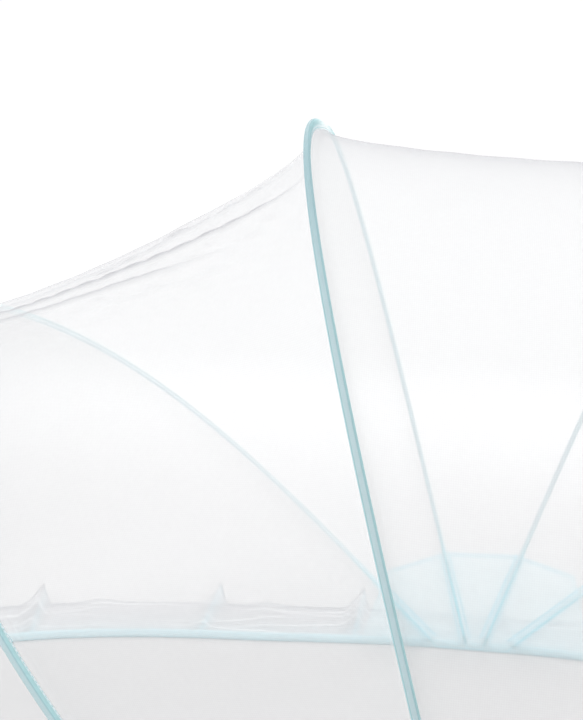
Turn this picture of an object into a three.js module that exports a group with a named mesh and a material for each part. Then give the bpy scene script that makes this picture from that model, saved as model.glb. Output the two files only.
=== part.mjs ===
// Foldable mosquito net for a single bed, standing open on the floor.
// Four sprung hoops fan out from a hub at the middle of each long side.
// White mesh gores are sewn between them, down to a stiff binding round the base,
// and a strip of voile lies on the floor outside it.
// X runs along the bed, Y across it, Z up. Sizes are in millimetres.

import * as THREE from 'three';

// Driving sizes of the whole net.
const HALF_LENGTH = 1000;
const HALF_WIDTH = 500;
const BASE_SQUARENESS = 3.05;
const CLOTH = 1.2;
const GAP = 0.3;

// Base binding: a stiff band that stands on the floor.
const BAND_WIDTH = 9;
const BAND_HEIGHT = 13;
const BAND_CENTRE_INSET = 2.8;
const BAND_EASE = 0.5;
// The base is drawn in along its sides. The hubs push it out over a short flat stretch.
const BASE_SIDE_INSET = 22;
const HUB_FLAT = 64;
const HUB_FADE = 420;
const BASE_STEPS = 2000;
// Shares of the band's width and height at which its section turns.
const BAND_SOLE = 0.36;
const BAND_LOW = 0.2;
const BAND_HIGH = 0.75;

// Hoop casing: a sleeve round the spring, with a sewn seam on its inner side.
const CASING_HALF_WIDTH = 4.2;
const CASING_CROWN = 4.4;
const SEAM_HALF_WIDTH = 1.2;
const SEAM_DEPTH = 8.2;
const CASING_WIDEST = -1;
const CASING_SHOULDER = 0.7;

// Each hoop: where its feet stand along X, how far it leans from upright,
// how far it rises along its own plane, and two exponents for its rounded form.
const HOOPS = {
  outer_left: { foot: -61, lean: -45.8, rise: 900, side: 1.325, crown: 0.564 },
  inner_left: { foot: -13, lean: -16.2, rise: 889, side: 0.703, crown: 0.514 },
  inner_right: { foot: 10, lean: 17.5, rise: 880, side: 0.703, crown: 0.514 },
  outer_right: { foot: 48, lean: 46.1, rise: 880, side: 1.325, crown: 0.564 },
};

// Gores start at this share of a hoop's length, just above the floor.
const GORE_START = 0.002;
const GORE_FLOOR_CLEARANCE = 3;
const END_GORE_START = 72;
// Shares of a gore's width at which it is shaped, closer together near its seams.
const GORE_COLUMNS = [0, 0.05, 0.15, 0.3, 0.5, 0.7, 0.85, 0.95, 1];
const SAG_SHARPNESS = 0.45;

// Rows of the plain gores: the share along the seam at each side.
const PLAIN_ROWS = [
  0.02, 0.04, 0.065, 0.09, 0.115, 0.14, 0.19, 0.24, 0.29, 0.34, 0.38, 0.42, 0.46,
];

// Rows of the side gores from the far foot to the near foot. Taut folds run from
// the crown of the outer hoop to the near shoulder of the inner one.
const FOLDED_ROWS = [
  { outer: 0.05, inner: 0.05, fold: 0 },
  { outer: 0.11, inner: 0.11, fold: 0 },
  { outer: 0.17, inner: 0.17, fold: 0 },
  { outer: 0.23, inner: 0.23, fold: 0 },
  { outer: 0.29, inner: 0.3, fold: 0 },
  { outer: 0.35, inner: 0.37, fold: 0 },
  { outer: 0.41, inner: 0.43, fold: 2 },
  { outer: 0.46, inner: 0.48, fold: -2 },
  { outer: 0.5, inner: 0.53, fold: 3 },
  { outer: 0.518, inner: 0.565, fold: -5 },
  { outer: 0.528, inner: 0.59, fold: 7 },
  { outer: 0.535, inner: 0.603, fold: -5 },
  { outer: 0.542, inner: 0.616, fold: 6 },
  { outer: 0.549, inner: 0.632, fold: -6 },
  { outer: 0.558, inner: 0.65, fold: 6 },
  { outer: 0.572, inner: 0.675, fold: -3 },
  { outer: 0.605, inner: 0.71, fold: 2 },
  { outer: 0.66, inner: 0.75, fold: 0 },
  { outer: 0.73, inner: 0.8, fold: 0 },
  { outer: 0.8, inner: 0.85, fold: 0 },
  { outer: 0.87, inner: 0.9, fold: 0 },
  { outer: 0.94, inner: 0.95, fold: 0 },
];

const LEFT_FOLD_STRENGTH = 1;
const RIGHT_FOLD_STRENGTH = 0.8;

// Hub patch: corners of the fan, one on each hoop, and two on the base band.
const PATCH_CORNERS = [
  { x: -190, z: 8 },
  { x: -154, z: 128 },
  { x: -59, z: 167 },
  { x: 59, z: 171 },
  { x: 154, z: 142 },
  { x: 188, z: 8 },
];
const PATCH_STANDOFF = 0.35;

// Floor skirt: a strip of voile sewn to the outer face of the base band.
// Its spare length stands up in flutes, highest at the free edge.
const SKIRT_WIDTH = 135;
const SKIRT_EASE = 0.8;
const SKIRT_HALF_LENGTH = 1136;
const SKIRT_HALF_WIDTH = 636;
const SKIRT_ROWS = [0, 0.35, 1];
const FLUTE_COUNT = 19;
const FIRST_FLUTE = -208;
const FLUTE_HEM_SHARE = 0.1;
const SHORTEST_STEP = 1;
// Shift along the edge and rise at the free edge, taken in turn round the skirt.
const FLUTES = [
  { shift: 0, rise: 44, width: 4 },
  { shift: 12, rise: 35, width: -6 },
  { shift: -9, rise: 30, width: 3 },
  { shift: 6, rise: 38, width: -3 },
  { shift: -4, rise: 33, width: 7 },
];
// Lines across the skirt for one flute: distance from its crest and share of its rise.
const FLUTE_LINES = [
  { along: -15, share: 0 },
  { along: -5, share: 0.7 },
  { along: 0, share: 1 },
  { along: 6, share: 0.62 },
  { along: 16, share: 0 },
  { along: 75, share: 0.02 },
  { along: 112, share: 0.16 },
  { along: 168, share: 0.03 },
];

const materials = {
  mesh: { color: 0xf6f7f9, roughness: 0.85, metalness: 0 },
  binding: { color: 0xb4dbe2, roughness: 0.7, metalness: 0 },
  patch: { color: 0xcdebf4, roughness: 0.75, metalness: 0 },
  voile: { color: 0xe9ecf1, roughness: 0.85, metalness: 0 },
};

function signedPower(value, power) {
  return Math.sign(value) * Math.abs(value) ** power;
}

// Eases a share of the half turn, so that points near the feet are evenly spaced.
function halfTurn(share) {
  return Math.PI * share * share * (3 - 2 * share);
}

// Half turn of a hoop, from its far foot to its near foot.
class HoopCurve extends THREE.Curve {
  constructor({ foot, lean, rise, side, crown }) {
    super();
    this.shape = { foot, rise, side, crown };
    const angle = THREE.MathUtils.degToRad(lean);
    this.up = new THREE.Vector3(Math.sin(angle), 0, Math.cos(angle));
    this.across = new THREE.Vector3(Math.cos(angle), 0, -Math.sin(angle));
  }

  getPoint(share, target = new THREE.Vector3()) {
    const { foot, rise, side, crown } = this.shape;
    const turn = halfTurn(share);
    target.copy(this.up).multiplyScalar(rise * Math.abs(Math.sin(turn)) ** crown);
    target.x += foot;
    target.y = HALF_WIDTH * signedPower(Math.cos(turn), side);
    return target;
  }
}

// How far the hub pushes the base out at a place along the bed.
function hubReach(x) {
  const away = THREE.MathUtils.smoothstep(Math.abs(x), HUB_FLAT, HUB_FADE);
  return (BASE_SIDE_INSET - BAND_CENTRE_INSET) * (1 - away);
}

// Round of the base on the floor, anticlockwise from the right end, seen from above.
class BaseCurve extends THREE.Curve {
  getPoint(share, target = new THREE.Vector3()) {
    const turn = 2 * Math.PI * share;
    const power = 2 / BASE_SQUARENESS;
    const x = (HALF_LENGTH - BAND_CENTRE_INSET) * signedPower(Math.cos(turn), power);
    const y = (HALF_WIDTH - BASE_SIDE_INSET) * signedPower(Math.sin(turn), power);
    return target.set(x, y + Math.sign(y) * hubReach(x), 0);
  }
}

function meshFrom(name, finish, positions, triangles) {
  const geometry = new THREE.BufferGeometry();
  geometry.setAttribute('position', new THREE.Float32BufferAttribute(positions, 3));
  geometry.setIndex(triangles);
  geometry.computeVertexNormals();
  const mesh = new THREE.Mesh(geometry, new THREE.MeshStandardMaterial(materials[finish]));
  mesh.name = name;
  return mesh;
}

function triangleVolume(positions, triangles) {
  const corners = [new THREE.Vector3(), new THREE.Vector3(), new THREE.Vector3()];
  let volume = 0;
  for (let at = 0; at < triangles.length; at += 3) {
    corners.forEach((corner, k) => corner.fromArray(positions, 3 * triangles[at + k]));
    volume += corners[0].dot(corners[1].clone().cross(corners[2]));
  }
  return volume;
}

// Turns every triangle over where the closed shape was wound inside out.
function facingOut(positions, triangles) {
  if (triangleVolume(positions, triangles) > 0) return triangles;
  const turned = [];
  for (let at = 0; at < triangles.length; at += 3) {
    turned.push(triangles[at], triangles[at + 2], triangles[at + 1]);
  }
  return turned;
}

// Joins equal rows of points into a skin. A closed skin also joins its ends.
function skinTriangles(rowCount, columnCount, { rowsClose, columnsClose, start = 0 }) {
  const triangles = [];
  const lastRow = rowsClose ? rowCount : rowCount - 1;
  const lastColumn = columnsClose ? columnCount : columnCount - 1;
  for (let i = 0; i < lastRow; i += 1) {
    for (let j = 0; j < lastColumn; j += 1) {
      const a = start + i * columnCount + j;
      const b = start + i * columnCount + ((j + 1) % columnCount);
      const c = start + ((i + 1) % rowCount) * columnCount + j;
      const d = start + ((i + 1) % rowCount) * columnCount + ((j + 1) % columnCount);
      triangles.push(a, b, d, a, d, c);
    }
  }
  return triangles;
}

// Direction square to the cloth at each point of a grid.
function gridNormals(rows, rowsClose) {
  const last = rows.length - 1;
  return rows.map((row, i) => row.map((point, j) => {
    const before = rows[rowsClose ? (i + last) % rows.length : Math.max(i - 1, 0)][j];
    const after = rows[rowsClose ? (i + 1) % rows.length : Math.min(i + 1, last)][j];
    const left = row[Math.max(j - 1, 0)];
    const right = row[Math.min(j + 1, row.length - 1)];
    const along = after.clone().sub(before);
    const across = right.clone().sub(left);
    return along.cross(across).normalize();
  }));
}

const EVERYWHERE = new THREE.Box3(
  new THREE.Vector3(-Infinity, -Infinity, -Infinity),
  new THREE.Vector3(Infinity, Infinity, Infinity),
);

// A sheet of cloth: a grid of points given its thickness, closed round its edges.
function clothSheet(name, finish, rows, { rowsClose = false, within = EVERYWHERE } = {}) {
  const normals = gridNormals(rows, rowsClose);
  const rowCount = rows.length;
  const columnCount = rows[0].length;
  const layer = rowCount * columnCount;
  const positions = [];
  for (const side of [1, -1]) {
    rows.forEach((row, i) => row.forEach((point, j) => {
      const moved = point.clone().addScaledVector(normals[i][j], side * CLOTH / 2);
      moved.clamp(within.min, within.max);
      positions.push(moved.x, moved.y, moved.z);
    }));
  }
  const shape = { rowsClose, columnsClose: false };
  const triangles = skinTriangles(rowCount, columnCount, shape);
  const under = skinTriangles(rowCount, columnCount, { ...shape, start: layer });
  for (let at = 0; at < under.length; at += 3) {
    triangles.push(under[at], under[at + 2], under[at + 1]);
  }
  const addRim = (a, b) => triangles.push(b, b + layer, a + layer, b, a + layer, a);
  const lastRow = rowsClose ? rowCount : rowCount - 1;
  for (let i = 0; i < lastRow; i += 1) {
    const here = i * columnCount;
    const next = ((i + 1) % rowCount) * columnCount;
    addRim(here, next);
    addRim(next + columnCount - 1, here + columnCount - 1);
  }
  if (!rowsClose) {
    for (let j = 0; j < columnCount - 1; j += 1) {
      addRim(j + 1, j);
      addRim((rowCount - 1) * columnCount + j, (rowCount - 1) * columnCount + j + 1);
    }
  }
  return meshFrom(name, finish, positions, facingOut(positions, triangles));
}

// A bar swept through rings of equal sections, closed on itself or capped.
function sweptBar(name, finish, rings, closes) {
  const positions = rings.flat().flatMap((point) => [point.x, point.y, point.z]);
  const shape = { rowsClose: closes, columnsClose: true };
  const triangles = skinTriangles(rings.length, rings[0].length, shape);
  if (!closes) {
    const size = rings[0].length;
    const top = (rings.length - 1) * size;
    for (let j = 1; j < size - 1; j += 1) {
      triangles.push(0, j + 1, j);
      triangles.push(top, top + j, top + j + 1);
    }
  }
  return meshFrom(name, finish, positions, facingOut(positions, triangles));
}

// Sorts numbers and drops those that are nearly the same.
function inOrder(values, apart = 1e-6) {
  const sorted = [...values].sort((one, other) => one - other);
  return sorted.filter((value, at) => at === 0 || value - sorted[at - 1] > apart);
}

const vertical = new THREE.Vector3(0, 0, 1);
const baseCurve = new BaseCurve();
baseCurve.arcLengthDivisions = BASE_STEPS;
const baseLength = baseCurve.getLength();
const hoopCurves = {};
for (const [name, sizes] of Object.entries(HOOPS)) hoopCurves[name] = new HoopCurve(sizes);

// Direction from a hoop towards the inside of the net, in the hoop's own plane.
function inwardAt(curve, share) {
  return curve.across.clone().cross(curve.getTangentAt(share)).normalize();
}

// Outline of the casing: lateral distance and distance outward from the spring.
const CASING_SECTION = [
  { lateral: -SEAM_HALF_WIDTH, outward: -SEAM_DEPTH },
  { lateral: SEAM_HALF_WIDTH, outward: -SEAM_DEPTH },
  { lateral: CASING_HALF_WIDTH, outward: CASING_WIDEST },
  { lateral: CASING_SHOULDER * CASING_HALF_WIDTH, outward: CASING_SHOULDER * CASING_CROWN },
  { lateral: 0, outward: CASING_CROWN },
  { lateral: -CASING_SHOULDER * CASING_HALF_WIDTH, outward: CASING_SHOULDER * CASING_CROWN },
  { lateral: -CASING_HALF_WIDTH, outward: CASING_WIDEST },
];

// Slides a point along a direction until it lies just above the base band.
function ontoBand(point, direction) {
  const level = BAND_HEIGHT + GAP;
  return point.addScaledVector(direction, (level - point.z) / direction.z);
}

// The casing bends only where a gore's row meets it, so that the seams stay parallel.
function hoopCasing(name, rowShares) {
  const curve = hoopCurves[name];
  const footShare = (BAND_HEIGHT + CASING_HALF_WIDTH) / curve.getLength();
  const shares = inOrder(rowShares.filter((share) => share > footShare && share < 1 - footShare));
  const rings = [footShare, ...shares, 1 - footShare].map((share, step) => {
    const centre = curve.getPointAt(share);
    const tangent = curve.getTangentAt(share);
    const inward = inwardAt(curve, share);
    const ring = CASING_SECTION.map(({ lateral, outward }) => centre.clone()
      .addScaledVector(curve.across, lateral)
      .addScaledVector(inward, -outward));
    const isFoot = step === 0 || step === shares.length + 1;
    return isFoot ? ring.map((point) => ontoBand(point, tangent)) : ring;
  });
  return sweptBar(`hoop_${name}`, 'binding', rings, false);
}

// Seam line where a gore is sewn to a hoop, beside the casing's inner edge.
function hoopSeam(name, side) {
  const curve = hoopCurves[name];
  const clearance = SEAM_HALF_WIDTH + GAP + CLOTH / 2;
  return (share) => curve.getPointAt(share)
    .addScaledVector(inwardAt(curve, share), SEAM_DEPTH)
    .addScaledVector(curve.across, side * clearance);
}

// Share of the base's round at a distance from the far hub, positive to the right.
function baseShare(along) {
  return (((0.25 - along / baseLength) % 1) + 1) % 1;
}

// Distance round the base at a share of an end gore's seam, from far to near.
function baseAlong(end, share) {
  return end * THREE.MathUtils.lerp(END_GORE_START, baseLength / 2 - END_GORE_START, share);
}

// A point beside the centre line of the base band.
function besideBase(along, outward, height) {
  const share = baseShare(along);
  const tangent = baseCurve.getTangentAt(share);
  return baseCurve.getPointAt(share)
    .addScaledVector(tangent.cross(vertical).normalize(), outward)
    .setZ(height);
}

// Seam line of an end gore, just inside the base band, from the far to the near side.
function baseSeam(end) {
  const inset = BAND_WIDTH / 2 + BAND_EASE + CLOTH / 2;
  return (share) => besideBase(baseAlong(end, share), -inset, GORE_FLOOR_CLEARANCE);
}

// A gore between two seams. It sags towards the middle of the net between them.
function gore(name, seamA, seamB, rows, sag) {
  const grid = rows.map(({ a, b, fold }) => {
    const from = seamA(a);
    const to = seamB(b);
    const height = Math.sin(Math.PI * (a + b) / 2);
    return GORE_COLUMNS.map((share) => {
      const point = from.clone().lerp(to, share);
      const bow = (4 * share * (1 - share)) ** SAG_SHARPNESS;
      const reach = point.length();
      return point.multiplyScalar(1 - bow * height * sag + bow * fold / reach);
    });
  });
  return clothSheet(name, 'mesh', grid);
}

function plainRows() {
  const shares = [GORE_START, ...PLAIN_ROWS, 0.5];
  const mirrored = [...PLAIN_ROWS, GORE_START].map((share) => 1 - share);
  mirrored.sort((one, other) => one - other);
  return [...shares, ...mirrored].map((share) => ({ a: share, b: share, fold: 0 }));
}

// Rows of a side gore, seam a on its left. The folds on the right are a little softer.
function foldedRows(outerIsLeft, strength) {
  const first = { outer: GORE_START, inner: GORE_START, fold: 0 };
  const last = { outer: 1 - GORE_START, inner: 1 - GORE_START, fold: 0 };
  return [first, ...FOLDED_ROWS, last].map(({ outer, inner, fold }) => ({
    a: outerIsLeft ? outer : inner,
    b: outerIsLeft ? inner : outer,
    fold: fold * strength,
  }));
}

// Section of the base band: lateral distance from its centre and height.
const BAND_SECTION = [
  { lateral: -BAND_SOLE * BAND_WIDTH, height: 0 },
  { lateral: BAND_SOLE * BAND_WIDTH, height: 0 },
  { lateral: BAND_WIDTH / 2, height: BAND_LOW * BAND_HEIGHT },
  { lateral: BAND_WIDTH / 2, height: BAND_HIGH * BAND_HEIGHT },
  { lateral: 0, height: BAND_HEIGHT },
  { lateral: -BAND_WIDTH / 2, height: BAND_HIGH * BAND_HEIGHT },
  { lateral: -BAND_WIDTH / 2, height: BAND_LOW * BAND_HEIGHT },
];

// The band bends where the rows of the end gores meet it, and at the hubs.
function baseBand(stations) {
  const rings = stations.map((along) => BAND_SECTION.map(
    ({ lateral, height }) => besideBase(along, lateral, height),
  ));
  return sweptBar('base_band', 'binding', rings, true);
}

// Fan of voile on the outer face of the hoops at a hub.
function hubPatch(name, side) {
  const outline = new THREE.Shape(PATCH_CORNERS.map(({ x, z }) => new THREE.Vector2(x, z)));
  const geometry = new THREE.ExtrudeGeometry(outline, { depth: CLOTH, bevelEnabled: false });
  const mesh = new THREE.Mesh(geometry, new THREE.MeshStandardMaterial(materials.patch));
  const face = HALF_WIDTH + CASING_CROWN + PATCH_STANDOFF;
  mesh.rotation.x = Math.PI / 2;
  mesh.position.y = side * face + (side > 0 ? CLOTH : 0);
  mesh.name = name;
  return mesh;
}

// Shaped lines across the skirt, flute by flute, starting beside the far hub.
function skirtLines() {
  const pitch = baseLength / FLUTE_COUNT;
  const lines = [];
  for (let number = 0; number < FLUTE_COUNT; number += 1) {
    const flute = FLUTES[number % FLUTES.length];
    for (const { along, share } of FLUTE_LINES) {
      lines.push({
        along: FIRST_FLUTE + number * pitch + flute.shift + along,
        rise: flute.rise * share,
        width: SKIRT_WIDTH + (along === 0 ? flute.width : 0),
      });
    }
  }
  return lines;
}

// Adds a line where the band bends, between the two shaped lines beside it.
function withStations(lines, stations) {
  const added = stations.flatMap((station) => {
    const place = station < lines[0].along ? station + baseLength : station;
    const next = lines.findIndex(({ along }) => along > place);
    if (next < 1) return [{ along: place, rise: 0, width: SKIRT_WIDTH }];
    const [before, after] = [lines[next - 1], lines[next]];
    const step = after.along - before.along;
    const part = (place - before.along) / step;
    if (Math.min(part, 1 - part) * step < SHORTEST_STEP) return [];
    return [{
      along: place,
      rise: THREE.MathUtils.lerp(before.rise, after.rise, part),
      width: THREE.MathUtils.lerp(before.width, after.width, part),
    }];
  });
  return [...lines, ...added].sort((one, other) => one.along - other.along);
}

// The skirt lies on the floor and is cut straight at its four furthest places.
const SKIRT_CUT = new THREE.Box3(
  new THREE.Vector3(-SKIRT_HALF_LENGTH, -SKIRT_HALF_WIDTH, 0),
  new THREE.Vector3(SKIRT_HALF_LENGTH, SKIRT_HALF_WIDTH, HALF_WIDTH),
);

function floorSkirt(stations) {
  const inner = BAND_WIDTH / 2 + SKIRT_EASE;
  const rows = withStations(skirtLines(), stations).map(({ along, rise, width }) => (
    SKIRT_ROWS.map((part) => {
      const lift = rise * (FLUTE_HEM_SHARE + (1 - FLUTE_HEM_SHARE) * part);
      return besideBase(along, inner + part * width, CLOTH / 2 + lift);
    })));
  return clothSheet('floor_skirt', 'voile', rows, { rowsClose: true, within: SKIRT_CUT });
}

const evenRows = plainRows();
const leftRows = foldedRows(true, LEFT_FOLD_STRENGTH);
const rightRows = foldedRows(false, RIGHT_FOLD_STRENGTH);

// The gores from left to right, with how far each sags between its seams.
const GORES = [
  { name: 'end_left', right: 'outer_left', rows: evenRows, sag: 0.03 },
  { name: 'side_left', left: 'outer_left', right: 'inner_left', rows: leftRows, sag: 0.041 },
  { name: 'middle', left: 'inner_left', right: 'inner_right', rows: evenRows, sag: 0.0215 },
  { name: 'side_right', left: 'inner_right', right: 'outer_right', rows: rightRows, sag: 0.039 },
  { name: 'end_right', left: 'outer_right', rows: evenRows, sag: 0.03 },
];

const net = new THREE.Group();
const hoopShares = Object.fromEntries(Object.keys(HOOPS).map((name) => [name, []]));
const baseStations = [0, baseLength / 2];
for (const { name, left, right, rows, sag } of GORES) {
  const seamA = left ? hoopSeam(left, 1) : baseSeam(-1);
  const seamB = right ? hoopSeam(right, -1) : baseSeam(1);
  net.add(gore(`net_${name}`, seamA, seamB, rows, sag));
  if (left) hoopShares[left].push(...rows.map(({ a }) => a));
  else baseStations.push(...rows.map(({ a }) => baseAlong(-1, a)));
  if (right) hoopShares[right].push(...rows.map(({ b }) => b));
  else baseStations.push(...rows.map(({ b }) => baseAlong(1, b)));
}
for (const [name, shares] of Object.entries(hoopShares)) net.add(hoopCasing(name, shares));
net.add(baseBand(inOrder(baseStations)));
net.add(hubPatch('hub_patch_far', 1));
net.add(hubPatch('hub_patch_near', -1));
net.add(floorSkirt(inOrder(baseStations)));

export default net;
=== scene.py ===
# %% [markdown]
# # A foldable mosquito net
# The net stands open over a bed place. Four sprung hoops fan out from a hub at the
# middle of each long side, and white mesh is sewn between them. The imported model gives
# the frame: every piece below is laid on it, in metres, with X along the bed, Y across
# it and Z up.

# %% Load the frame
import math

import bpy
import numpy as np
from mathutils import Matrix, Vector


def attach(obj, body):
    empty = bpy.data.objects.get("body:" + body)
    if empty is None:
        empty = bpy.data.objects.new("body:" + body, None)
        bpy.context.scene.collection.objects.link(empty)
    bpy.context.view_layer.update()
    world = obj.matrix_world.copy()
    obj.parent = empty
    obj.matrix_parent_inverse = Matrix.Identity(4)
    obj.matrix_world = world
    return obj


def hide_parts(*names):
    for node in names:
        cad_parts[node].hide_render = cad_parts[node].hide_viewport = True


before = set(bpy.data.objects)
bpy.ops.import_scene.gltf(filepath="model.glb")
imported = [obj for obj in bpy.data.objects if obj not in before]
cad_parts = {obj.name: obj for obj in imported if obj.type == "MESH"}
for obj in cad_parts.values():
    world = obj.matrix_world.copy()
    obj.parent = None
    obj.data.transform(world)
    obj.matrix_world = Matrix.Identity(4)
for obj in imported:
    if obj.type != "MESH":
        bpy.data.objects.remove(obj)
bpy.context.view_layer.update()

# %% [markdown]
# ## Small helpers
# Blender's operators act on whatever is selected, and loading the frame leaves its
# nodes selected, so each step starts by deselecting everything. Colours are sRGB hex
# values, turned to linear light in one place.

# %% Helpers for selecting and for colour
def deselect_all():
    if bpy.context.mode != "OBJECT":
        bpy.ops.object.mode_set(mode="OBJECT")
    bpy.ops.object.select_all(action="DESELECT")


def pick(piece):
    deselect_all()
    piece.select_set(True)
    bpy.context.view_layer.objects.active = piece


def linear(colour):
    """Turns an sRGB hex colour into the linear colour that a shader expects."""
    parts = [int(colour[i:i + 2], 16) / 255 for i in (1, 3, 5)]
    light = [p / 12.92 if p <= 0.04045 else ((p + 0.055) / 1.055) ** 2.4 for p in parts]
    return (*light, 1.0)


def add_node(tree, kind, settings=None):
    """Adds a shader node. Settings name its properties and inputs; a socket is linked."""
    node = tree.nodes.new("ShaderNode" + kind)
    for name, value in (settings or {}).items():
        if isinstance(value, bpy.types.NodeSocket):
            tree.links.new(value, node.inputs[name])
        elif isinstance(name, int) or name in node.inputs:
            node.inputs[name].default_value = value
        else:
            setattr(node, name, value)
    return node


def empty_tree(owner):
    """The cleared node tree of a material or a world."""
    owner.use_nodes = True
    owner.node_tree.nodes.clear()
    return owner.node_tree


def bell(values, centre, spread):
    """1 at the centre, fading to nothing a few spreads away."""
    return np.exp(-((values - centre) / spread) ** 2)


# %% [markdown]
# ## The camera
# The photograph is taken from the near side, close to the net and a little above its
# crown's height, turned slightly to the left. The hoops' feet, crowns and widths in the
# picture give the camera's place, its turn and its lens.

# %% Camera
CAMERA_PLACE = Vector((-0.1606, -1.2847, 0.8342))
CAMERA_TURN_LEFT = 0.0945
CAMERA_LOOK_DOWN = 0.195
CAMERA_ROLL = 0.0376
FOCAL_PIXELS = 1117.9
PICTURE_HEIGHT_PIXELS = 720
SENSOR_MM = 36.0


def add_camera():
    data = bpy.data.cameras.new("camera")
    camera = bpy.data.objects.new("camera", data)
    bpy.context.scene.collection.objects.link(camera)
    data.sensor_width = SENSOR_MM
    data.lens = SENSOR_MM * FOCAL_PIXELS / PICTURE_HEIGHT_PIXELS
    data.clip_end = 200.0
    level = math.cos(CAMERA_LOOK_DOWN)
    ahead = Vector((
        -math.sin(CAMERA_TURN_LEFT) * level,
        math.cos(CAMERA_TURN_LEFT) * level,
        -math.sin(CAMERA_LOOK_DOWN),
    ))
    turn = ahead.to_track_quat("-Z", "Y").to_euler()
    turn.rotate_axis("Z", CAMERA_ROLL)
    camera.rotation_euler = turn
    camera.location = CAMERA_PLACE
    bpy.context.scene.camera = camera
    return camera


camera = add_camera()
print("lens", round(camera.data.lens, 2), "mm")

# %% [markdown]
# ## The lines that the net is sewn on
# Every hoop is a rounded arch in a leaning plane, and the base is a rounded oblong on
# the floor. Each line is many close points, so that a seam can be walked by its share
# of the length.

# %% Driving sizes
HALF_LENGTH = 1.0
HALF_WIDTH = 0.5
BASE_SQUARENESS = 3.05
BASE_SIDE_INSET = 0.022
HUB_FLAT = 0.064
HUB_FADE = 0.420
BAND_WIDTH = 0.009
BAND_HEIGHT = 0.013
BAND_CENTRE_INSET = 0.0028
SEAM_DEPTH = 0.0082
SEAM_CLEARANCE = 0.0021
BAND_CLEARANCE = 0.0011
GORE_FLOOR_CLEARANCE = 0.003
END_GORE_START = 0.072
HOOPS = {
    "outer_left": {"foot": -0.061, "lean": -45.8, "rise": 0.900, "side": 1.325, "crown": 0.564},
    "inner_left": {"foot": -0.013, "lean": -16.2, "rise": 0.889, "side": 0.703, "crown": 0.514},
    "inner_right": {"foot": 0.010, "lean": 17.5, "rise": 0.880, "side": 0.703, "crown": 0.514},
    "outer_right": {"foot": 0.048, "lean": 46.1, "rise": 0.880, "side": 1.325, "crown": 0.564},
}
LINE_POINTS = 6001


def signed_power(values, power):
    return np.sign(values) * np.abs(values) ** power


def walked(points):
    """The distance walked up to each point of a row."""
    steps = np.linalg.norm(np.diff(points, axis=0), axis=1)
    return np.concatenate([[0.0], np.cumsum(steps)])


def measured_line(points):
    """Adds the share of the length and the direction to a row of points."""
    length = walked(points)
    ahead = np.gradient(points, length, axis=0)
    ahead /= np.linalg.norm(ahead, axis=1)[:, None]
    return {"points": points, "ahead": ahead, "share": length / length[-1], "length": length[-1]}


def hoop_line(sizes):
    even = np.linspace(0, 1, LINE_POINTS)
    turn = math.pi * even * even * (3 - 2 * even)
    lean = math.radians(sizes["lean"])
    rise = sizes["rise"] * np.abs(np.sin(turn)) ** sizes["crown"]
    y = HALF_WIDTH * signed_power(np.cos(turn), sizes["side"])
    points = np.column_stack([sizes["foot"] + rise * math.sin(lean), y, rise * math.cos(lean)])
    line = measured_line(points)
    across = np.array([math.cos(lean), 0.0, -math.sin(lean)])
    line["across"] = np.broadcast_to(across, points.shape)
    line["inward"] = np.cross(line["across"], line["ahead"])
    return line


def hub_reach(x):
    """How far the hubs push the base out at a place along the bed."""
    part = np.clip((np.abs(x) - HUB_FLAT) / (HUB_FADE - HUB_FLAT), 0, 1)
    return (BASE_SIDE_INSET - BAND_CENTRE_INSET) * (1 - part * part * (3 - 2 * part))


def base_line():
    """The base from the far hub, clockwise seen from above, towards the right end first."""
    even = np.linspace(0, 1, LINE_POINTS)
    turn = math.pi / 2 - 2 * math.pi * even
    power = 2 / BASE_SQUARENESS
    x = (HALF_LENGTH - BAND_CENTRE_INSET) * signed_power(np.cos(turn), power)
    y = (HALF_WIDTH - BASE_SIDE_INSET) * signed_power(np.sin(turn), power)
    y += np.sign(y) * hub_reach(x)
    line = measured_line(np.column_stack([x, y, np.zeros_like(x)]))
    line["outward"] = np.cross(np.array([0.0, 0.0, 1.0]), line["ahead"])
    return line


def on_line(line, key, share):
    """Reads a line's point or direction at some shares of its length."""
    return np.stack([np.interp(share, line["share"], line[key][:, k]) for k in range(3)], -1)


def on_hoop(line, share):
    """The place on a hoop at some shares of its length, and its three directions there."""
    return [on_line(line, key, share) for key in ("points", "ahead", "across", "inward")]


hoop_lines = {name: hoop_line(sizes) for name, sizes in HOOPS.items()}
base = base_line()
print("hoop lengths", {name: round(line["length"], 3) for name, line in hoop_lines.items()})
print("base length", round(base["length"], 3))

# %% [markdown]
# ## Cloth as a grid
# Each cloth piece starts as a flat grid, as it is on the cutting table. Its rows and
# columns are then laid on the seams. A UV map in metres lets the weave follow the cloth
# and keep its real scale.

# %% Helper that lays a grid of cloth
UV_NAME = "UVMap"
WELD_DISTANCE = 1e-6
FINE_WELD_DISTANCE = 1e-7
THREAD_TURN = np.linspace(0, 2 * math.pi, 7)


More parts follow.
